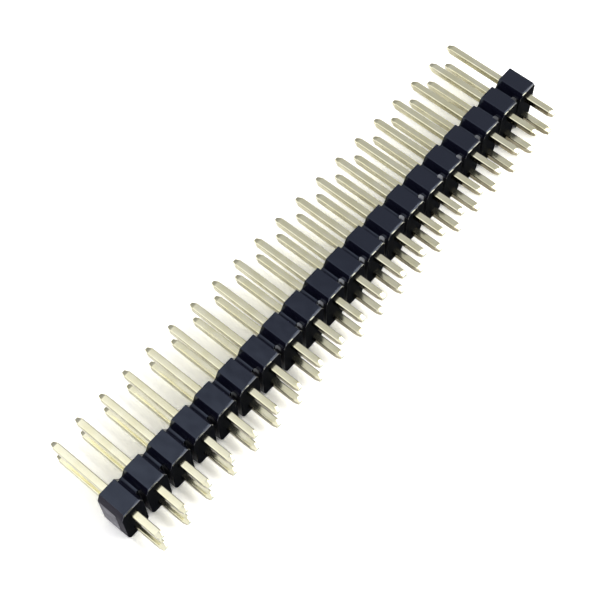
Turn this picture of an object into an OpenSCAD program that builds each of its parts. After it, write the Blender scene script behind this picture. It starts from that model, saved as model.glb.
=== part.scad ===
// Two-row breakaway pin header strip, lying on one long side.
//
// X runs along the strip, Y along the pins and Z across the two rows.
// The origin is the middle of the pin grid on the board face: +Y points out
// of the mating face, and the solder tails reach below zero in Y.

/* [Grid] */
// Number of pins in each of the two rows
positions = 20; // [2:1:29]
// Distance between neighbouring pins, along the strip and across the rows
pitch = 2.54; // [2:0.01:3.2]

/* [Housing] */
// Width of the housing across the two rows
housing_width = 5; // [4.3:0.05:6.2]
// Thickness of the housing, from its board face to its mating face
housing_depth = 2.5; // [1.7:0.05:4]
// How far each end face stops short of half a pitch beyond the last pin
end_trim = 0.16; // [0:0.01:0.2]

/* [Break notches] */
// Width of a break notch where it opens on the long side
notch_mouth = 1.02; // [0.6:0.01:1.2]
// Width of a break notch at its flat bottom
notch_floor = 0.24; // [0.1:0.01:0.4]
// Depth of a break notch from the long side
notch_depth = 0.8; // [0.4:0.05:1]
// Width of a round-ended relief slot in the board face
relief_width = 0.38; // [0.26:0.02:0.6]
// How far a relief slot runs in from the board face
relief_depth = 0.85; // [0.6:0.05:1.2]

/* [Pins] */
// Side of the square pin wire
pin_side = 0.64; // [0.5:0.01:0.8]
// Length of a mating post in front of the mating face
post_length = 5.95; // [3:0.05:12]
// Length of a solder tail behind the board face
tail_length = 2.85; // [2:0.05:6]
// Gap between a pin and its hole, on each of the four sides
pin_clearance = 0.01; // [0.005:0.005:0.03]

/* [Pin ends] */
// Length of the taper on the tip of a mating post
tip_taper = 0.45; // [0.3:0.05:1.5]
// Side of the square cut face at the tip of a mating post
tip_side = 0.3; // [0.15:0.01:0.48]
// Length of the bevel on the end of a solder tail
tail_bevel = 0.45; // [0.1:0.05:0.6]
// Side of the square cut face at the end of a solder tail
tail_side = 0.42; // [0.2:0.01:0.48]

/* [Hidden] */
// A cut starts this far outside the surface that it opens on
cut_margin = 1;
// Facets of a round slot end
slot_facets = 48;

strip_length = positions * pitch - 2 * end_trim;
flat_width = pitch - notch_mouth;
notch_slope = (notch_mouth - notch_floor) / 2;
hole_side = pin_side + 2 * pin_clearance;
relief_radius = relief_width / 2;

function position_x(i) = (i - (positions - 1) / 2) * pitch;
function row_z(row) = (row == 0 ? 1 : -1) * pitch / 2;
function two_digits(n) = str(n < 10 ? "0" : "", n);
function pin_name(row, i) = str("pin_", row == 0 ? "a" : "b", two_digits(i + 1));

// One long edge of the housing seen along the pins: a raised flat at each
// position, sloping down on both sides to the floors of the notches.
function long_edge() = [
    for (i = [0:positions - 1])
        for (
            corner = [
                [-flat_width / 2 - notch_slope, notch_depth],
                [-flat_width / 2, 0],
                [flat_width / 2, 0],
                [flat_width / 2 + notch_slope, notch_depth]
            ]
        )
            [position_x(i) + corner.x, housing_width / 2 - corner.y]
];

function reversed(points) = [for (i = [len(points) - 1:-1:0]) points[i]];

// Outline of the whole strip seen along the pins, with square-cut ends
module strip_outline() {
    edge = long_edge();
    intersection() {
        polygon(concat(edge, reversed([for (p = edge) [p.x, -p.y]])));
        square([strip_length, housing_width + 2 * cut_margin], center = true);
    }
}

// Round-ended slot that thins the web between two positions on the board side
module relief_slot() {
    slot_height = housing_width + 2 * cut_margin;
    straight = relief_depth - relief_radius;
    translate([0, straight, 0])
        cylinder(r = relief_radius, h = slot_height, center = true, $fn = slot_facets);
    translate([-relief_radius, -cut_margin, -slot_height / 2])
        cube([2 * relief_radius, straight + cut_margin, slot_height]);
}

module pin_hole() {
    translate([-hole_side / 2, -cut_margin, -hole_side / 2])
        cube([hole_side, housing_depth + 2 * cut_margin, hole_side]);
}

module housing() {
    color([0.09, 0.1, 0.13])
    difference() {
        translate([0, housing_depth, 0])
            rotate([90, 0, 0])
                linear_extrude(height = housing_depth)
                    strip_outline();
        for (i = [0:positions])
            translate([position_x(i) - pitch / 2, 0, 0])
                relief_slot();
        for (row = [0, 1], i = [0:positions - 1])
            translate([position_x(i), 0, row_z(row)])
                pin_hole();
    }
}

// Long outline of a pin: bevelled tail, straight shank and tapered tip
module pin_outline() {
    tail_end = -tail_length;
    tip_end = housing_depth + post_length;
    right_side = [
        [tail_side / 2, tail_end],
        [pin_side / 2, tail_end + tail_bevel],
        [pin_side / 2, tip_end - tip_taper],
        [tip_side / 2, tip_end]
    ];
    polygon(concat(right_side, reversed([for (p = right_side) [-p.x, p.y]])));
}

// A pin is its long outline cut both ways, so all four sides taper alike
module pin(row, i) {
    color([0.86, 0.82, 0.62])
    translate([position_x(i), 0, row_z(row)])
        intersection() {
            linear_extrude(height = pin_side, center = true)
                pin_outline();
            rotate([0, 90, 0])
                linear_extrude(height = pin_side, center = true)
                    pin_outline();
        }
}

housing();
for (row = [0, 1], i = [0:positions - 1])
    pin(row, i);
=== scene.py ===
# %% [markdown]
# # A two-row pin header strip
#
# The strip has forty square metal pins pressed through one black moulding.
# The construction model already holds every size, so this script builds
# only the finish: softened edges, tapered tips, cut metal and the plastics.
# Loading the frame first gives a fixed place for every part.

# %% Load the construction model
import math

import bpy
from mathutils import Matrix, Vector


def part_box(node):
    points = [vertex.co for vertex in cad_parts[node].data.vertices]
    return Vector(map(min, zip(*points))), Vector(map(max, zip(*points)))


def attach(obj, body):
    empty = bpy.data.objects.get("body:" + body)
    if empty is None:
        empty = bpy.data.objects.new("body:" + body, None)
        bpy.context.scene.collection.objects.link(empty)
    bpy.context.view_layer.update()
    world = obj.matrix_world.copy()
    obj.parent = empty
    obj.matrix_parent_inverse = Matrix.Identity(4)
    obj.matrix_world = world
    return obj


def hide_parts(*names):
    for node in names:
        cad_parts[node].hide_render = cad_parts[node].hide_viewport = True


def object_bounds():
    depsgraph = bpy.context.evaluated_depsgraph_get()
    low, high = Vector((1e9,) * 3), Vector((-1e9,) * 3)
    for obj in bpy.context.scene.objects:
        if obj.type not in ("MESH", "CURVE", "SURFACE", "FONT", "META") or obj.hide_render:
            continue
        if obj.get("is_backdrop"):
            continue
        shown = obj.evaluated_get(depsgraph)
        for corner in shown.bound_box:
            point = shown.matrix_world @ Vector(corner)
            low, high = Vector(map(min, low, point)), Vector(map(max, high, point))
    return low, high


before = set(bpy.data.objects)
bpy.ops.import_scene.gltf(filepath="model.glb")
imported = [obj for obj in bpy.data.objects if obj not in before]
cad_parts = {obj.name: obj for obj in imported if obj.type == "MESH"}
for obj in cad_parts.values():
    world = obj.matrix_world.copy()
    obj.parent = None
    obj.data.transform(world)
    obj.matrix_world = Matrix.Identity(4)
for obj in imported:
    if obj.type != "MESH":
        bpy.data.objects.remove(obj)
cad_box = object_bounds()
print("construction box:", [[round(v * 1000, 2) for v in corner] for corner in cad_box])

# %% [markdown]
# Sizes are easier to read in millimetres, while Blender works in metres
# here, so one constant turns a drawing size into scene units. Two very
# short lengths serve the rules that select by place: `same_place` where
# two places should agree, and `slack` where a rule may be generous.
#
# The rows and places of the pins are read from the construction model
# itself: each pin node gives its own centre, so nothing can drift apart.

# %% Sizes and the pin grid
MM = 0.001
same_place = 0.001 * MM
slack = 0.01 * MM

housing_low, housing_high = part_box("housing")
pin_names = sorted(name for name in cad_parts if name.startswith("pin_"))


def pin_centre(name):
    """X and Z of a pin's axis."""
    low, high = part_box(name)
    return (low[0] + high[0]) / 2, (low[2] + high[2]) / 2


row_names = [name for name in pin_names if name.startswith("pin_a")]
row_x = [pin_centre(name)[0] for name in row_names]
positions = len(row_names)
pitch = (row_x[-1] - row_x[0]) / (positions - 1)
row_z = pin_centre("pin_a01")[1]
pin_low, pin_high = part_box("pin_a01")
pin_side = pin_high[0] - pin_low[0]
print("positions:", positions, "pitch mm:", round(pitch / MM, 3))
print("pin side mm:", round(pin_side / MM, 3))

# %% [markdown]
# ## Camera
#
# The strip is small, so the camera stands only about a hand's width away
# and looks down steeply along it. A long lens keeps the rows from fanning
# out too strongly. Setting the camera first means that every later choice
# can be judged from the view that matters.
#
# Blender cameras look along their own -Z with +Y up, and a small clip
# start is needed because the default hides anything nearer than 10 cm. The
# camera is turned by its own three axes, which are the columns of its
# matrix.

# %% Camera
def stand(place, right, up, back):
    """The matrix of an object at a place, turned by its own three axes."""
    return Matrix.Translation(place) @ Matrix((right, up, back)).transposed().to_4x4()


camera_data = bpy.data.cameras.new("strip_camera")
camera = bpy.data.objects.new("strip_camera", camera_data)
bpy.context.scene.collection.objects.link(camera)
camera_data.sensor_width = 36
camera_data.lens = 78.95
camera_data.clip_start = 5 * MM
camera_data.clip_end = 20

eye = Vector((-38.87, -30.49, 92.42)) * MM
view_right = Vector((0.64904, -0.76055, -0.01736)).normalized()
view_back = Vector((-0.34658, -0.31592, 0.88322)).normalized()
view_up = view_back.cross(view_right).normalized()
view_right = view_up.cross(view_back)
camera.matrix_world = stand(eye, view_right, view_up, view_back)
bpy.context.scene.camera = camera
print("camera distance mm:", round(eye.length / MM, 1))

# %% [markdown]
# ## Small helpers
#
# Every modelling step below works like a hand at the mouse: choose an
# object, enter edit mode, select something, run a tool. A few helpers keep
# that short. Selecting by place means a rule such as "all corners above
# this height", which never depends on how Blender numbers them.

# %% Helpers for modelling by hand
cut_tolerance = 1e-8  # metres


def only_nothing():
    """Leave edit mode and deselect everything."""
    if bpy.context.mode != "OBJECT":
        bpy.ops.object.mode_set(mode="OBJECT")
    bpy.ops.object.select_all(action="DESELECT")


def only(obj):
    """Deselect everything else and make this object the active one."""
    only_nothing()
    obj.select_set(True)
    bpy.context.view_layer.objects.active = obj
    return obj


def pick(obj, rule, kind="VERT"):
    """In edit mode, select the corners, edges or faces that a rule accepts."""
    bpy.ops.object.mode_set(mode="EDIT")
    bpy.ops.mesh.select_mode(type=kind)
    bpy.ops.mesh.select_all(action="DESELECT")
    bpy.ops.object.mode_set(mode="OBJECT")
    items = {"VERT": obj.data.vertices, "EDGE": obj.data.edges, "FACE": obj.data.polygons}[kind]
    chosen = 0
    for item in items:
        item.select = bool(rule(item))
        chosen += item.select
    bpy.ops.object.mode_set(mode="EDIT")
    return chosen


def cut(place, direction, **options):
    """In edit mode, cut everything with a plane. The default tolerance is
    0.1 mm, coarser than some edges here, so it is made tiny."""
    bpy.ops.mesh.select_all(action="SELECT")
    bpy.ops.mesh.bisect(
        plane_co=place, plane_no=direction, threshold=cut_tolerance, **options
    )


def settle(obj):
    """Leave edit mode and put the object's place into its mesh."""
    only(obj)
    bpy.ops.object.transform_apply(location=True, rotation=True, scale=True)
    return obj


def finish_with(obj, kind, **settings):
    """Add a modifier with its settings and apply it at once."""
    only(obj)
    modifier = obj.modifiers.new(kind.lower(), kind)
    for name, value in settings.items():
        setattr(modifier, name, value)
    bpy.ops.object.modifier_apply(modifier=modifier.name)
    return obj


def block(name, low, high):
    """A box between two corners, as a starting shape."""
    only_nothing()
    low, high = Vector(low), Vector(high)
    bpy.ops.mesh.primitive_cube_add(size=1, location=(low + high) / 2, scale=high - low)
    obj = bpy.context.object
    obj.name = obj.data.name = name
    return settle(obj)


# %% [markdown]
# ## Housing
#
# The housing is injection moulded in one piece. At each position it is a
# block, and V-shaped notches between the blocks leave thin webs, so that a
# length can be snapped off by hand.
#
# Only one position is shaped, starting from a box. Four cuts across it mark
# where the slopes begin and end, and then the corners of the web are pushed
# in towards the middle. That makes both slopes flat and exactly straight.

# %% Drawing sizes of the housing
half_height = housing_high[2]
depth = housing_high[1]
strip_end = housing_high[0]
notch_mouth = 1.02 * MM
notch_floor = 0.24 * MM
notch_depth = 0.8 * MM
relief_width = 0.38 * MM
relief_depth = 0.85 * MM
flat_half = (pitch - notch_mouth) / 2
web_half = (pitch - notch_floor) / 2
print("flat of a block mm:", round(2 * flat_half / MM, 3))

# %% One position of the strip
first_x = row_x[0]
position = block(
    "header_housing",
    (first_x - pitch / 2, 0, -half_height),
    (first_x + pitch / 2, depth, half_height),
)
only(position)
bpy.ops.object.mode_set(mode="EDIT")
for cut_x in (-web_half, -flat_half, flat_half, web_half):
    cut((first_x + cut_x, 0, 0), (1, 0, 0))
for side in (1, -1):
    moved = pick(
        position,
        lambda v: abs(v.co.x - first_x) > web_half - slack and v.co.z * side > 0,
    )
    bpy.ops.transform.translate(value=(0, 0, -side * notch_depth))
    print("corners pushed in:", moved)

# %% [markdown]
# The long edges on the board side are visibly rounder than the others. A
# bevel of those edges alone, done while the shape is still simple, keeps
# the round clean through every later cut. The round falls further down the
# board face than it reaches over the flat, so it is squeezed along Y.

# %% Round the long edges of the board side
board_drop = 0.3 * MM
board_reach = 0.1 * MM
board_steps = 6


def long_board_edge(edge):
    """The outer edges of the board face, between two notches."""
    start, end = (position.data.vertices[i].co for i in edge.vertices)
    on_board = max(start.y, end.y) < slack
    return on_board and abs(start.z + end.z) > 2 * half_height - slack


def in_board_round(corner):
    """The corners of the round that lie above the board face."""
    y, z = corner.co.y, abs(corner.co.z)
    return 0 < y < board_drop + slack and z > half_height - board_drop - slack


edges = pick(position, long_board_edge, "EDGE")
bpy.ops.mesh.bevel(offset=board_drop, segments=board_steps, affect="EDGES")
pick(position, in_board_round)
bpy.ops.transform.resize(value=(1, board_reach / board_drop, 1), center_override=(0, 0, 0))
bpy.ops.object.mode_set(mode="OBJECT")
print("board edges rounded:", edges)

# %% [markdown]
# The position is now repeated by an array modifier. The two flat walls
# inside the webs would be trapped in the finished moulding, so they are
# deleted before the copies are welded together. Last, each end is cut off a
# little short of the notch's middle, where a strip really snaps.

# %% Repeat the position and trim both ends
straight = 0.99  # of a normal's length, for a face square to an axis


def repeat(obj, count, step, **settings):
    """Copy an object in a row, with a step between the copies."""
    return finish_with(
        obj,
        "ARRAY",
        count=count,
        use_relative_offset=False,
        use_constant_offset=True,
        constant_offset_displace=step,
        **settings,
    )


pick(position, lambda f: abs(f.normal.x) > straight, "FACE")
bpy.ops.mesh.delete(type="FACE")
housing = repeat(
    position, positions, (pitch, 0, 0), use_merge_vertices=True, merge_threshold=same_place
)

only(housing)
bpy.ops.object.mode_set(mode="EDIT")
for end in (-1, 1):
    cut((end * strip_end, 0, 0), (end, 0, 0), use_fill=True, clear_outer=True)
bpy.ops.object.mode_set(mode="OBJECT")
print("faces of the welded strip:", len(housing.data.polygons))

# %% [markdown]
# Between the positions, the board side is relieved by a slot with a round
# end. The slot's own shape is drawn as on paper: a disc is cut in half, its
# straight side is pulled out through the board face, and the outline is
# then extruded through the full height. A boolean takes the row of slots
# out of the strip, and they reach a little past it on all open sides,
# because faces that only just touch confuse a boolean.

# %% Relief slots on the board side
relief_radius = relief_width / 2
relief_centre = relief_depth - relief_radius
relief_steps = 24  # in a full circle
slot_x = first_x - pitch / 2
over = 1 * MM


def on_straight_side(edge):
    """The straight side of the half disc."""
    ends = (slots.data.vertices[i].co for i in edge.vertices)
    return all(abs(end.y - relief_centre) < same_place for end in ends)


def take_out(obj, cutter):
    """Subtract one object from another, and throw the cutter away."""
    finish_with(obj, "BOOLEAN", operation="DIFFERENCE", solver="EXACT", object=cutter)
    bpy.data.objects.remove(cutter)


only_nothing()
bpy.ops.mesh.primitive_circle_add(
    vertices=relief_steps,
    radius=relief_radius,
    fill_type="NGON",
    location=(slot_x, relief_centre, -half_height - over),
)
slots = bpy.context.object
settle(slots)
bpy.ops.object.mode_set(mode="EDIT")
cut((slot_x, relief_centre, 0), (0, -1, 0), clear_outer=True)
pick(slots, on_straight_side, "EDGE")
for way in ((0, -relief_centre - over, 0), (0, 0, 2 * (half_height + over))):
    bpy.ops.mesh.extrude_region_move(TRANSFORM_OT_translate={"value": way})
    bpy.ops.mesh.select_all(action="SELECT")
bpy.ops.mesh.normals_make_consistent(inside=False)
repeat(slots, positions + 1, (pitch, 0, 0))
take_out(housing, slots)
print("faces after the slots:", len(housing.data.polygons))

# %% [markdown]
# Nothing that comes out of a mould is razor sharp. A narrow bevel on every
# corner catches a thread of light, and that thread is what makes a small
# black block read as a solid thing. The angle limit keeps it off the
# facets of the round slots and of the edges that are round already.

# %% Soften the moulded corners
weld_distance = 0.002 * MM
moulded_round = 0.022 * MM
moulded_steps = 2
moulded_angle = math.radians(33)

pick(housing, lambda v: True)
bpy.ops.mesh.remove_doubles(threshold=weld_distance)
finish_with(
    housing,
    "BEVEL",
    width=moulded_round,
    segments=moulded_steps,
    limit_method="ANGLE",
    angle_limit=moulded_angle,
    miter_outer="MITER_ARC",
    use_clamp_overlap=False,
)
print("faces with soft corners:", len(housing.data.polygons))

# %% [markdown]
# The pin holes come last, so that their rims stay tight around the pins.
# One cutter a hundredth of a millimetre wider than a pin on each side is
# repeated along the strip and across it.

# %% Pin holes
pin_clearance = 0.01 * MM
hole_half = pin_side / 2 + pin_clearance
holes = block(
    "holes",
    (first_x - hole_half, -over, -row_z - hole_half),
    (first_x + hole_half, depth + over, -row_z + hole_half),
)
repeat(holes, 2, (0, 0, 2 * row_z))
repeat(holes, positions, (pitch, 0, 0))
take_out(housing, holes)
print("faces of the housing:", len(housing.data.polygons))

# %% [markdown]
# Smooth shading by angle blends the small steps of the rounds into one
# curve. The large flat faces would pick up a false bend from it, so
# weighted normals let each large face keep its own direction.

# %% Shade the housing
housing_smooth = math.radians(30)

only(housing)
bpy.ops.object.shade_smooth_by_angle(angle=housing_smooth)
finish_with(housing, "WEIGHTED_NORMAL", keep_sharp=True)
print("faces shaded smooth:", sum(face.use_smooth for face in housing.data.polygons))

# %% [markdown]
# ## Pins
#
# The pins are cut from square drawn wire. The wire leaves its die with
# plainly rounded corners, the mating tip is swaged to a blunt nose, and the
# solder tail is nipped off with a flat facet on each side.
#
# One pin starts as a long box. Its four long corners are rounded first,
# while they are still single edges. Two cuts mark where the ends begin, and
# a third, hidden inside the housing, lets the tail and the post have
# finishes of their own. The end faces are scaled down, and last the rims of
# both ends are rounded, the nipped tail by almost nothing.

# %% One pin
tip_taper = 0.45 * MM
tip_side = 0.3 * MM
tail_bevel = 0.45 * MM
tail_side = 0.42 * MM
corner_round = 0.1 * MM
corner_steps = 4
tip_round, tip_steps = 0.06 * MM, 3
tail_round, tail_steps = 0.02 * MM, 2
tail_end, tip_end = pin_low[1], pin_high[1]
tail_crease = tail_end + tail_bevel
tip_crease = tip_end - tip_taper

pin = block(
    "pin",
    (-pin_side / 2, tail_end, -pin_side / 2),
    (pin_side / 2, tip_end, pin_side / 2),
)


def edge_y(edge):
    """The Y places of both ends of an edge of the pin."""
    return [pin.data.vertices[i].co.y for i in edge.vertices]


only(pin)
pick(pin, lambda e: abs(edge_y(e)[0] - edge_y(e)[1]) > pin_side, "EDGE")
bpy.ops.mesh.bevel(offset=corner_round, segments=corner_steps, affect="EDGES")
for cut_y in (tail_crease, depth / 2, tip_crease):
    cut((0, cut_y, 0), (0, 1, 0))
for end_y, end_side in ((tail_end, tail_side), (tip_end, tip_side)):
    pick(pin, lambda v: abs(v.co.y - end_y) < same_place)
    shrink = end_side / pin_side
    bpy.ops.transform.resize(value=(shrink, 1, shrink), center_override=(0, end_y, 0))
for end_y, rim_round, rim_steps in (
    (tail_end, tail_round, tail_steps),
    (tip_end, tip_round, tip_steps),
):
    pick(pin, lambda e: all(abs(y - end_y) < same_place for y in edge_y(e)), "EDGE")
    bpy.ops.mesh.bevel(offset=rim_round, segments=rim_steps, affect="EDGES")
bpy.ops.object.mode_set(mode="OBJECT")
print("faces of a pin:", len(pin.data.polygons))

# %% [markdown]
# The pin is shaded in the same way. But the creases where the facets of
# both ends begin turn by only about 14 and 21 degrees, so they would be
# smoothed away too, and they are marked sharp by hand.

# %% Shade the pin
pin_smooth = math.radians(35)


def on_crease(edge):
    """The edges where the nipped facets and the tapered nose begin."""
    return any(
        all(abs(y - crease) < same_place for y in edge_y(edge))
        for crease in (tail_crease, tip_crease)
    )


only(pin)
bpy.ops.object.shade_smooth_by_angle(angle=pin_smooth)
creases = pick(pin, on_crease, "EDGE")
bpy.ops.mesh.mark_sharp()
finish_with(pin, "WEIGHTED_NORMAL", keep_sharp=True)
print("edges kept sharp on a pin:", creases)

# %% [markdown]
# The finished pin is duplicated once for every pin of the strip. Each copy
# has a mesh of its own, moved to its place, so that its object stays at the
# origin, where the frame wants it.

# %% Pins in place
pins = []
for name in pin_names:
    only(pin)
    bpy.ops.object.duplicate(linked=False)
    copy = bpy.context.object
    copy.name = copy.data.name = "post_" + name.removeprefix("pin_")
    x, z = pin_centre(name)
    copy.location = (x, 0, z)
    settle(copy)
    pins.append(copy)
bpy.data.objects.remove(pin)
print("pins placed:", len(pins))

# %% [markdown]
# ## Materials
#
# Colours are picked as sRGB hex codes, the way a paint chart gives them,
# and one function turns them into the linear values the shader wants.
# Another adds a node to a material, with its settings and its links, which
# keeps each material short enough to read as a recipe.
#
# All patterns read Object coordinates. These are metres here, so a noise
# scale of 1000 gives spots about a millimetre wide, and the function
# `per_mm` turns a real size in millimetres into that scale.

# %% Helpers for materials
MIX_FACTOR, MIX_A, MIX_B, MIX_RESULT = 0, 6, 7, 2


def linear(code):
    """A colour written as sRGB hex, as the renderer needs it."""
    def channel(start):
        value = int(code[start:start + 2], 16) / 255
        return value / 12.92 if value <= 0.04045 else ((value + 0.055) / 1.055) ** 2.4

    return (channel(1), channel(3), channel(5), 1)


def per_mm(size):
    """The pattern scale whose features are this many millimetres wide."""
    return 1 / (size * MM)


def add(tree, kind, settings=None, links=None):
    """One node, with its settings and its incoming links by attribute,
    socket name or socket number."""
    node = tree.nodes.new(kind)
    for key, value in (settings or {}).items():
        if isinstance(key, int) or key in node.inputs:
            node.inputs[key].default_value = value
        else:
            setattr(node, key, value)
    for key, source in (links or {}).items():
        tree.links.new(source, node.inputs[key])
    return node


def new_material(name, **sockets):
    """A Principled material with constants on its own sockets."""
    material = bpy.data.materials.new(name)
    material.use_nodes = True
    tree = material.node_tree
    shader = tree.nodes["Principled BSDF"]
    for key, value in sockets.items():
        shader.inputs[key.replace("_", " ")].default_value = value
    where = add(tree, "ShaderNodeTexCoord").outputs["Object"]
    return material, tree, shader, where


# %% [markdown]
# ### Moulded nylon, polished faces
#
# The housing is glass-filled nylon, dyed black, moulded against polished
# steel. The eye gets three things from that: a deep navy-black colour, a
# clear but slightly wavy reflection, because the melt shrinks unevenly over
# the ribs, and a fine speckle where short glass fibres lie just under the
# skin.
#
# Colour lives almost only in the reflection, so the diffuse colour is
# nearly black and the specular tint leans to blue. The waves are one bump
# of about 1.6 mm and the fibres another, stretched along the flow.

# %% Polished nylon
def glass_filled_nylon_polished():
    material, tree, shader, where = new_material(
        "glass_filled_nylon_polished",
        IOR=1.65,
        Specular_Tint=linear("#d3e4ff"),
    )
    cloud = add(
        tree, "ShaderNodeTexNoise",
        {"Scale": per_mm(2.2), "Detail": 3},
        {"Vector": where},
    )
    colour = add(
        tree, "ShaderNodeMix",
        {"data_type": "RGBA", MIX_A: linear("#0b0b18"), MIX_B: linear("#12121f")},
        {MIX_FACTOR: cloud.outputs["Fac"]},
    )
    tree.links.new(colour.outputs[MIX_RESULT], shader.inputs["Base Color"])

    flow = add(tree, "ShaderNodeMapping", {"Scale": (1, 0.35, 1)}, {"Vector": where})
    fibres = add(
        tree, "ShaderNodeTexNoise", {"Scale": per_mm(0.07), "Detail": 2, "Roughness": 0.6},
        {"Vector": flow.outputs["Vector"]},
    )
    gloss = add(
        tree, "ShaderNodeMapRange",
        {"From Min": 0.3, "From Max": 0.75, "To Min": 0.08, "To Max": 0.22},
        {"Value": fibres.outputs["Fac"]},
    )
    tree.links.new(gloss.outputs["Result"], shader.inputs["Roughness"])

    waves = add(
        tree, "ShaderNodeTexNoise",
        {"Scale": per_mm(1.6), "Detail": 1},
        {"Vector": where},
    )
    wavy = add(
        tree, "ShaderNodeBump", {"Strength": 1.0, "Distance": 0.06 * MM},
        {"Height": waves.outputs["Fac"]},
    )
    specks = add(
        tree, "ShaderNodeBump", {"Strength": 0.2, "Distance": 0.001 * MM},
        {"Height": fibres.outputs["Fac"], "Normal": wavy.outputs["Normal"]},
    )
    tree.links.new(specks.outputs["Normal"], shader.inputs["Normal"])
    return material


# %% [markdown]
# ### Moulded nylon, eroded faces
#
# The board side is never seen in use, so its half of the mould is left as
# the spark cut it. The plastic copies that fine grain and turns matt and
# nearly reflection-free. A low specular level and a high roughness say so,
# and the grain is a small bump of about 0.05 mm.
#
# The half notch beside each broken end was strained white-grey when the
# strip was snapped. It is the same kind of surface with more gleam and a
# paler colour, so the recipe takes these as arguments.

# %% Eroded nylon
def glass_filled_nylon_matt(name, gleam, dark, light):
    material, tree, shader, where = new_material(name, Specular_IOR_Level=gleam)
    grain = add(
        tree, "ShaderNodeTexNoise",
        {"Scale": per_mm(0.05), "Detail": 3, "Roughness": 0.7},
        {"Vector": where},
    )
    colour = add(
        tree, "ShaderNodeMix",
        {"data_type": "RGBA", MIX_A: linear(dark), MIX_B: linear(light)},
        {MIX_FACTOR: grain.outputs["Fac"]},
    )
    tree.links.new(colour.outputs[MIX_RESULT], shader.inputs["Base Color"])
    dull = add(
        tree, "ShaderNodeMapRange",
        {"From Min": 0.3, "From Max": 0.7, "To Min": 0.55, "To Max": 0.8},
        {"Value": grain.outputs["Fac"]},
    )
    tree.links.new(dull.outputs["Result"], shader.inputs["Roughness"])
    eroded = add(
        tree, "ShaderNodeBump",
        {"Strength": 0.4, "Distance": 0.006 * MM},
        {"Height": grain.outputs["Fac"]},
    )
    tree.links.new(eroded.outputs["Normal"], shader.inputs["Normal"])
    return material


# %% [markdown]
# ### Nylon scuffed by the mould's blades, with a painted glint
#
# The relief slots are formed by thin steel blades that slide out of the
# hot plastic. They drag the skin, so the slot walls come out rough, with
# fine lines along the way the blade left, which is Y.
#
# A pale colour is painted on the walls in the corners beside the webs. It is a painted highlight, standing
# in for the glint of light that the round ends of the slots catch. It is strong a little past the middle of
# the strip and faint at the ends, as that glint is. Three ramps multiply to that: along Y, over the distance
# of a place from the middle height, which is the size of Z, and over its distance from the place along X
# where the painted highlight is strongest.

# %% Scuffed nylon
lip_start, lip_full = 1.1 * MM, 1.4 * MM  # up or down from the middle height
nose_start, nose_full = 0.3 * MM, 0.45 * MM  # in from the board face
painted_glint_peak_x = 6 * MM  # where along the strip the painted highlight is strongest
painted_glint_full_reach, painted_glint_end_reach = 6 * MM, 22 * MM  # how far from there the painted highlight stays full, and where it has faded
painted_glint_rest = 0.06  # the part of the painted highlight that is left further out


def glass_filled_nylon_scuffed_painted_glint():
    material, tree, shader, where = new_material(
        "glass_filled_nylon_scuffed_painted_glint",
        Specular_IOR_Level=0.25,
    )
    drag = add(tree, "ShaderNodeMapping", {"Scale": (1, 0.1, 1)}, {"Vector": where})
    lines = add(
        tree, "ShaderNodeTexNoise", {"Scale": per_mm(0.06), "Detail": 3, "Roughness": 0.65},
        {"Vector": drag.outputs["Vector"]},
    )
    wall = add(
        tree, "ShaderNodeMix",
        {"data_type": "RGBA", MIX_A: linear("#07080c"), MIX_B: linear("#121319")},
        {MIX_FACTOR: lines.outputs["Fac"]},
    )
    # painted highlight: the pale colour that stands in for the glint beside the webs
    painted_glint_colour = add(
        tree, "ShaderNodeMix",
        {"data_type": "RGBA", MIX_A: linear("#b4b7bf"), MIX_B: linear("#ebedf1")},
        {MIX_FACTOR: lines.outputs["Fac"]},
    )
    place = add(tree, "ShaderNodeSeparateXYZ", None, {"Vector": where})
    height = add(tree, "ShaderNodeMath", {"operation": "ABSOLUTE"}, {0: place.outputs["Z"]})
    at_lip = add(
        tree, "ShaderNodeMapRange", {"From Min": lip_start, "From Max": lip_full},
        {"Value": height.outputs["Value"]},
    )
    at_nose = add(
        tree, "ShaderNodeMapRange", {"From Min": nose_start, "From Max": nose_full},
        {"Value": place.outputs["Y"]},
    )
    # where the painted highlight lies: near the top and bottom, and in from the board face
    corner = add(
        tree, "ShaderNodeMath", {"operation": "MULTIPLY"},
        {0: at_lip.outputs["Result"], 1: at_nose.outputs["Result"]},
    )
    from_painted_glint_peak = add(
        tree, "ShaderNodeMath",
        {"operation": "SUBTRACT", 1: painted_glint_peak_x},
        {0: place.outputs["X"]},
    )
    far_from_painted_glint_peak = add(
        tree, "ShaderNodeMath",
        {"operation": "ABSOLUTE"},
        {0: from_painted_glint_peak.outputs["Value"]},
    )
    # how strong the painted highlight is along the strip
    painted_glint_along_strip = add(
        tree, "ShaderNodeMapRange",
        {"From Min": painted_glint_full_reach, "From Max": painted_glint_end_reach, "To Min": 1.0, "To Max": painted_glint_rest},
        {"Value": far_from_painted_glint_peak.outputs["Value"]},
    )
    painted_glint_share = add(
        tree, "ShaderNodeMath", {"operation": "MULTIPLY"},
        {0: corner.outputs["Value"], 1: painted_glint_along_strip.outputs["Result"]},
    )
    colour = add(
        tree, "ShaderNodeMix", {"data_type": "RGBA"},
        {
            MIX_FACTOR: painted_glint_share.outputs["Value"],
            MIX_A: wall.outputs[MIX_RESULT],
            MIX_B: painted_glint_colour.outputs[MIX_RESULT],
        },
    )
    tree.links.new(colour.outputs[MIX_RESULT], shader.inputs["Base Color"])
    rough = add(
        tree, "ShaderNodeMapRange",
        {"From Min": 0.3, "From Max": 0.7, "To Min": 0.35, "To Max": 0.6},
        {"Value": lines.outputs["Fac"]},
    )
    tree.links.new(rough.outputs["Result"], shader.inputs["Roughness"])
    scored = add(
        tree, "ShaderNodeBump",
        {"Strength": 0.5, "Distance": 0.008 * MM},
        {"Height": lines.outputs["Fac"]},
    )
    tree.links.new(scored.outputs["Normal"], shader.inputs["Normal"])
    return material


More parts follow.
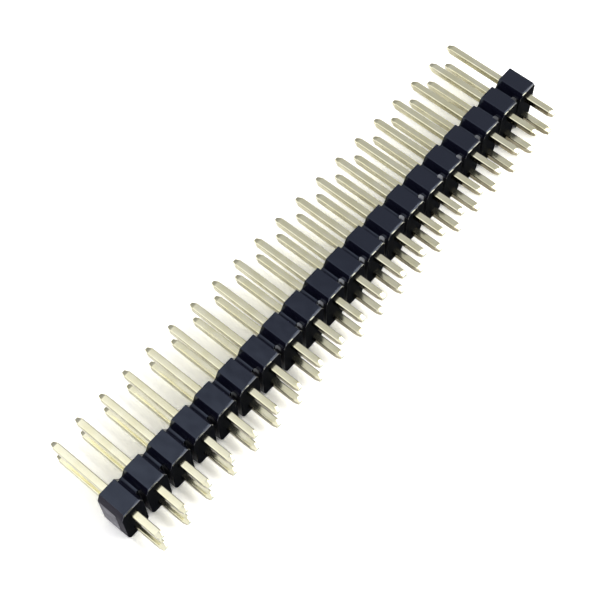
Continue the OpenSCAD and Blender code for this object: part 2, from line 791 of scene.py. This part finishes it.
# %% [markdown]
# ### Nylon where it was snapped
#
# Both ends of the strip were broken off a longer one. Snapped nylon turns
# whitish and granular, because the fibres are pulled out of it, and the
# break shows coarse grain with paler and darker patches.

# %% Snapped nylon
def glass_filled_nylon_snapped():
    material, tree, shader, where = new_material("glass_filled_nylon_snapped", Roughness=0.75)
    grain = add(
        tree, "ShaderNodeTexNoise",
        {"Scale": per_mm(0.16), "Detail": 5, "Roughness": 0.7},
        {"Vector": where},
    )
    patches = add(
        tree, "ShaderNodeTexNoise",
        {"Scale": per_mm(0.8), "Detail": 2},
        {"Vector": where},
    )
    both = add(
        tree, "ShaderNodeMath", {"operation": "MULTIPLY_ADD", 2: -0.1},
        {0: grain.outputs["Fac"], 1: patches.outputs["Fac"]},
    )
    whiter = add(
        tree, "ShaderNodeMapRange",
        {"From Min": 0.02, "From Max": 0.3},
        {"Value": both.outputs["Value"]},
    )
    colour = add(
        tree, "ShaderNodeMix",
        {"data_type": "RGBA", MIX_A: linear("#4f4e58"), MIX_B: linear("#8b8a92")},
        {MIX_FACTOR: whiter.outputs["Result"]},
    )
    tree.links.new(colour.outputs[MIX_RESULT], shader.inputs["Base Color"])
    torn = add(
        tree, "ShaderNodeBump",
        {"Strength": 0.8, "Distance": 0.03 * MM},
        {"Height": grain.outputs["Fac"]},
    )
    tree.links.new(torn.outputs["Normal"], shader.inputs["Normal"])
    return material


# %% [markdown]
# ### Gold flash
#
# The pins are brass wire with a layer of nickel and then a gold flash, a
# coat so thin that the nickel shines through and leaves a pale lemon tone.
# Drawn wire keeps faint lines along its length. They bend reflections
# across the wire only, so they are a noise stretched along Y, both in the
# bump and in the roughness. The flash is also a little uneven, deeper in
# some places than in others.
#
# The two faces that were sheared when the wires were cut from their carrier are duller. Their colours are
# also darker and browner, most of all on the tails, and that is painted shade, standing in for the darker
# floor and plastic that these faces mirror. So the recipe takes its colours, its roughness and the height of
# its lines, in millimetres, as arguments.

# %% Gold flash on drawn wire
def gold_flash(name, thin, deep, smooth, dull, line_height):
    material, tree, shader, where = new_material(name, Metallic=1)
    along = add(tree, "ShaderNodeMapping", {"Scale": (1, 0.03, 1)}, {"Vector": where})
    lines = add(
        tree, "ShaderNodeTexNoise", {"Scale": per_mm(0.05), "Detail": 3, "Roughness": 0.6},
        {"Vector": along.outputs["Vector"]},
    )
    cloud = add(
        tree, "ShaderNodeTexNoise",
        {"Scale": per_mm(1.3), "Detail": 3},
        {"Vector": where},
    )
    depth_of_flash = add(
        tree, "ShaderNodeMapRange",
        {"From Min": 0.35, "From Max": 0.65},
        {"Value": cloud.outputs["Fac"]},
    )
    colour = add(
        tree, "ShaderNodeMix",
        {"data_type": "RGBA", MIX_A: linear(thin), MIX_B: linear(deep)},
        {MIX_FACTOR: depth_of_flash.outputs["Result"]},
    )
    tree.links.new(colour.outputs[MIX_RESULT], shader.inputs["Base Color"])
    polish = add(
        tree, "ShaderNodeMapRange",
        {"From Min": 0.3, "From Max": 0.7, "To Min": smooth, "To Max": dull},
        {"Value": lines.outputs["Fac"]},
    )
    tree.links.new(polish.outputs["Result"], shader.inputs["Roughness"])
    drawn = add(
        tree, "ShaderNodeBump",
        {"Strength": 0.5, "Distance": line_height * MM},
        {"Height": lines.outputs["Fac"]},
    )
    tree.links.new(drawn.outputs["Normal"], shader.inputs["Normal"])
    return material


# %% [markdown]
# ### Bare metal at the cut ends
#
# The wires are plated as one long reel and cut afterwards, so both ends
# show bare brass under a breath of tarnish. The cutter leaves a smeared half
# and a torn half, which reads as dull metal with a coarse grain.

# %% Cut wire ends
def bare_cut_metal():
    material, tree, shader, where = new_material("brass_cut_end", Metallic=1)
    grain = add(
        tree, "ShaderNodeTexNoise",
        {"Scale": per_mm(0.08), "Detail": 4, "Roughness": 0.7},
        {"Vector": where},
    )
    colour = add(
        tree, "ShaderNodeMix",
        {"data_type": "RGBA", MIX_A: linear("#8f9483"), MIX_B: linear("#c4c8b6")},
        {MIX_FACTOR: grain.outputs["Fac"]},
    )
    tree.links.new(colour.outputs[MIX_RESULT], shader.inputs["Base Color"])
    torn = add(
        tree, "ShaderNodeMapRange",
        {"From Min": 0.3, "From Max": 0.7, "To Min": 0.3, "To Max": 0.55},
        {"Value": grain.outputs["Fac"]},
    )
    tree.links.new(torn.outputs["Result"], shader.inputs["Roughness"])
    burred = add(
        tree, "ShaderNodeBump",
        {"Strength": 0.6, "Distance": 0.01 * MM},
        {"Height": grain.outputs["Fac"]},
    )
    tree.links.new(burred.outputs["Normal"], shader.inputs["Normal"])
    return material


# %% [markdown]
# ### Painting by place
#
# Each face takes its material by where it lies, as a masking tape would
# do it. The first material is the ground coat, and a later rule wins where
# it matches.

# %% Helper for painting
def paint(obj, ground, rules):
    """Give every face its finish, and count the faces of each."""
    obj.data.materials.clear()
    for material in [ground] + [material for material, rule in rules]:
        obj.data.materials.append(material)
    counts = [0] * (len(rules) + 1)
    for face in obj.data.polygons:
        face.material_index = 0
        for index, (material, rule) in enumerate(rules, start=1):
            if rule(face):
                face.material_index = index
        counts[face.material_index] += 1
    return counts


# %% [markdown]
# On the housing, the moulded faces are the polished ground. The board face and the rims of the slots are
# matt. The walls of the slots are scuffed and carry a painted highlight beside the webs, while their
# bottoms, which the blades don't scrape, stay matt. Last come what is left of a notch and a slot at each
# broken end, strained by the snapping, and the two breaks themselves.
#
# A normal has a length of 1, so each of its parts tells how squarely a face
# looks along that axis. The rules are written in such parts.

# %% Places on the housing
slot_slack = 0.004 * MM  # a face of a slot lies this near to its outline
end_notch = 0.38 * MM  # a little more than what is left of a notch at an end
board_facing = 0.9998  # stricter than the last step of the board edge's round
wall_facing = 0.6  # the walls of a slot, and the flanks of its round end
rim_facing, rim_tilt = 0.3, 0.1  # bevels that lean along X and Y, but not Z
slope_facing, slope_limit = 0.8, 0.97  # the slopes of a notch, at about 0.9


def slot_distance(place):
    """How far a place lies outside the outline of the nearest slot."""
    across = abs((place.x - slot_x + pitch / 2) % pitch - pitch / 2)
    return math.hypot(across, max(place.y - relief_centre, 0)) - relief_radius


def in_slot(face):
    """Any face of a whole slot."""
    whole = abs(face.center.x) < strip_end - relief_radius
    return whole and slot_distance(face.center) < slot_slack


def on_slot_wall(face):
    return in_slot(face) and abs(face.normal.x) > wall_facing


def on_slot_floor(face):
    return in_slot(face) and abs(face.normal.x) <= wall_facing


def on_board(face):
    """The board face, and the small bevels from it into the slots."""
    across, along, up = face.normal
    on_rim = along < -rim_facing and abs(across) > rim_facing and abs(up) < rim_tilt
    return along < -board_facing or on_rim


def near_break(face):
    """What is left of the notch and the slot at a broken end."""
    on_slope = slope_facing < abs(face.normal.x) < slope_limit
    on_end_notch = on_slope and abs(face.center.x) > strip_end - end_notch
    in_end_slot = slot_distance(face.center) < slot_slack and not in_slot(face)
    return on_end_notch or in_end_slot


def on_break(face):
    at_end = abs(face.center.x) > strip_end - same_place
    return at_end and abs(face.normal.x) > straight


# %% Paint the housing
polished = glass_filled_nylon_polished()
matt = glass_filled_nylon_matt("glass_filled_nylon_matt", 0.005, "#050609", "#0c0e13")
strained = glass_filled_nylon_matt("glass_filled_nylon_strained", 0.1, "#1c1a24", "#2e2c38")
slot_wall_and_painted_glint = glass_filled_nylon_scuffed_painted_glint()
snapped = glass_filled_nylon_snapped()
counts = paint(housing, polished, [
    (matt, on_board),
    # the slot walls carry the painted highlight beside the webs
    (slot_wall_and_painted_glint, on_slot_wall),
    (matt, on_slot_floor),
    (strained, near_break),
    (snapped, on_break),
])
print("painted faces of the housing:", counts)

# %% [markdown]
# On a pin, the faces that look along X are the sheared ones, and the
# faces that look along Y are the cut ends. The rounded rims of the ends
# count as cut where they still look mostly along Y.

# %% Paint the pins
side_facing = 0.8
end_facing = 0.97


def on_side(face):
    return abs(face.normal.x) > side_facing


def on_tail_side(face):
    return on_side(face) and face.center.y < 0


def on_cut_end(face):
    return abs(face.normal.y) > end_facing


top_gold = gold_flash("gold_flash_on_drawn_wire", "#fbf8df", "#f5f1d0", 0.1, 0.2, 0.002)
# the sheared sides are rougher, and their darker colours are painted shade
side_gold_painted_shade = gold_flash("gold_flash_sheared_side_painted_shade", "#c3bfa6", "#aba68c", 0.14, 0.26, 0.004)
# on the tails the sides get an even darker painted shade
tail_side_painted_shade = gold_flash("sheared_tail_side_painted_shade", "#918a76", "#6f6954", 0.1, 0.2, 0.004)
cut_end = bare_cut_metal()
for post in pins:
    counts = paint(post, top_gold, [
        (side_gold_painted_shade, on_side),
        (tail_side_painted_shade, on_tail_side),
        (cut_end, on_cut_end),
    ])
print("painted faces of a pin:", counts)

# %% [markdown]
# ## Floor and light
#
# The strip lies on white paper. The paper is an ordinary matt white, so the
# strip leaves a true shadow where it touches. A picture of this kind is
# exposed until the paper is just white, so for what the camera and the
# reflections see, its colour is scaled up. The light that the paper throws
# back on the strip stays as it was.

# %% Paper
paper_gain = 1.6
paper_size = 3000 * MM
only_nothing()
bpy.ops.mesh.primitive_plane_add(size=paper_size, location=(0, 0, housing_low[2]))
floor = bpy.context.object
floor.name = "floor"
paper, tree, shader, where = new_material("white_paper")
pulp = add(tree, "ShaderNodeTexNoise", {"Scale": per_mm(1.5), "Detail": 4}, {"Vector": where})
colour = add(
    tree, "ShaderNodeMix",
    {"data_type": "RGBA", MIX_A: linear("#fbfbfb"), MIX_B: linear("#fefefe")},
    {MIX_FACTOR: pulp.outputs["Fac"]},
)
path = add(tree, "ShaderNodeLightPath")
seen = add(
    tree, "ShaderNodeMath", {"operation": "MAXIMUM"},
    {0: path.outputs["Is Camera Ray"], 1: path.outputs["Is Glossy Ray"]},
)
seen_through = add(
    tree, "ShaderNodeMath", {"operation": "MAXIMUM"},
    {0: seen.outputs["Value"], 1: path.outputs["Is Transmission Ray"]},
)
gain = add(
    tree, "ShaderNodeMath", {"operation": "MULTIPLY_ADD", 1: paper_gain - 1, 2: 1.0},
    {0: seen_through.outputs["Value"]},
)
bright = add(
    tree, "ShaderNodeVectorMath", {"operation": "SCALE"},
    {"Vector": colour.outputs[MIX_RESULT], "Scale": gain.outputs["Value"]},
)
matt_paper = add(tree, "ShaderNodeBsdfDiffuse", None, {"Color": bright.outputs["Vector"]})
tree.links.new(matt_paper.outputs["BSDF"], tree.nodes["Material Output"].inputs["Surface"])
tree.nodes.remove(shader)
floor.data.materials.append(paper)
floor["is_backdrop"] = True
print("height of the paper, mm:", round(housing_low[2] / MM, 3))

# %% [markdown]
# The light is one broad soft sky, as inside a light tent. It is brightest
# on the left, over the near end of the strip, and fades to less than half
# on the right. Flat glossy faces act as small mirrors, so this fade is what
# makes the near blocks paler than the far ones. The tent is also dimmer
# behind the posts, on the side of the solder tails and towards the table.
#
# In the world's own coordinates X, Y and Z are the parts of a direction, so
# each ramp below is one of these fades. The bright left side fades out
# behind the posts. An even fill, lower towards the tails, is added to it,
# and the last ramp dims the sum towards the table.

# %% Studio sky
world = bpy.data.worlds.new("studio")
bpy.context.scene.world = world
world.use_nodes = True
tree = world.node_tree
sky = tree.nodes["Background"]
sky.inputs["Color"].default_value = (1, 1, 1, 1)
direction = add(tree, "ShaderNodeTexCoord").outputs["Generated"]
split = add(tree, "ShaderNodeSeparateXYZ", None, {"Vector": direction})
left = add(
    tree, "ShaderNodeMapRange",
    {
        "interpolation_type": "SMOOTHSTEP",
        "From Min": 0.08, "From Max": 0.4, "To Min": 0.64, "To Max": 0.0,
    },
    {"Value": split.outputs["X"]},
)
behind = add(
    tree, "ShaderNodeMapRange",
    {
        "interpolation_type": "SMOOTHSTEP",
        "From Min": 0.4, "From Max": 0.9, "To Min": 1.0, "To Max": 0.0,
    },
    {"Value": split.outputs["Y"]},
)
fill = add(
    tree, "ShaderNodeMapRange",
    {
        "interpolation_type": "SMOOTHSTEP",
        "From Min": 0.15, "From Max": -0.15, "To Min": 0.48, "To Max": 0.28,
    },
    {"Value": split.outputs["Y"]},
)
horizon = add(
    tree, "ShaderNodeMapRange",
    {"From Min": 0.0, "From Max": 0.5, "To Min": 0.35, "To Max": 1.0},
    {"Value": split.outputs["Z"]},
)
tent = add(
    tree, "ShaderNodeMath", {"operation": "MULTIPLY_ADD"},
    {0: left.outputs["Result"], 1: behind.outputs["Result"], 2: fill.outputs["Result"]},
)
strength = add(
    tree, "ShaderNodeMath", {"operation": "MULTIPLY"},
    {0: tent.outputs["Value"], 1: horizon.outputs["Result"]},
)
tree.links.new(strength.outputs["Value"], sky.inputs["Strength"])
print("nodes that make the sky:", len(tree.nodes))

# %% [markdown]
# A softbox hangs in front of the tails, a little towards the far end. The
# polished round along the board edge mirrors it as a thin line. The round
# also mirrors the tails below it, and they shine in the same light, which
# gives each block a short white dash.
#
# It is long in the Y direction and narrow along the strip, so it is turned by
# its own three axes, as the camera was. Blender gives an area lamp's power in
# watts, and a lamp looks as bright as its power divided by its area and by
# pi. So the brightness is what is chosen, because it is easier to think in:
# a brightness of 1 shows as plain white.

# %% Softbox
box_distance = 400 * MM
box_width, box_length = 170 * MM, 250 * MM
box_brightness = 8.5
box_way = Vector((0.43, -0.56, 0.71)).normalized()
box_right = Vector((0, 1, 0)).cross(box_way).normalized()
box_up = box_way.cross(box_right)
softbox = bpy.data.lights.new("softbox", "AREA")
softbox.shape = "RECTANGLE"
softbox.size, softbox.size_y = box_width, box_length
softbox.color = linear("#fffdfa")[:3]
softbox.energy = box_brightness * math.pi * box_width * box_length
holder = bpy.data.objects.new("softbox", softbox)
bpy.context.scene.collection.objects.link(holder)
holder.matrix_world = stand(box_way * box_distance, box_right, box_up, box_way)
holder.visible_camera = False
print("softbox, watts:", round(softbox.energy, 3))

# %% [markdown]
# The Standard view shows each colour as it is written, while Blender's
# default would flatten the bright ones.

# %% Plain colours
bpy.context.scene.view_settings.view_transform = "Standard"
print("view:", bpy.context.scene.view_settings.view_transform)

# %% [markdown]
# ## Tie everything to the frame
#
# Every new piece stands for a node of the construction model, so each one
# rides on the strip's single body and replaces the plain node.

# %% Ride and replace
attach(housing, "root")
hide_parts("housing")
for post, name in zip(pins, pin_names):
    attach(post, "root")
    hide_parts(name)

sizes = {"cad": [list(corner) for corner in cad_box], "visual": [list(corner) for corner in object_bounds()]}
for name, box in sizes.items():
    print(name, "box in mm:", [[round(v / MM, 3) for v in corner] for corner in box])
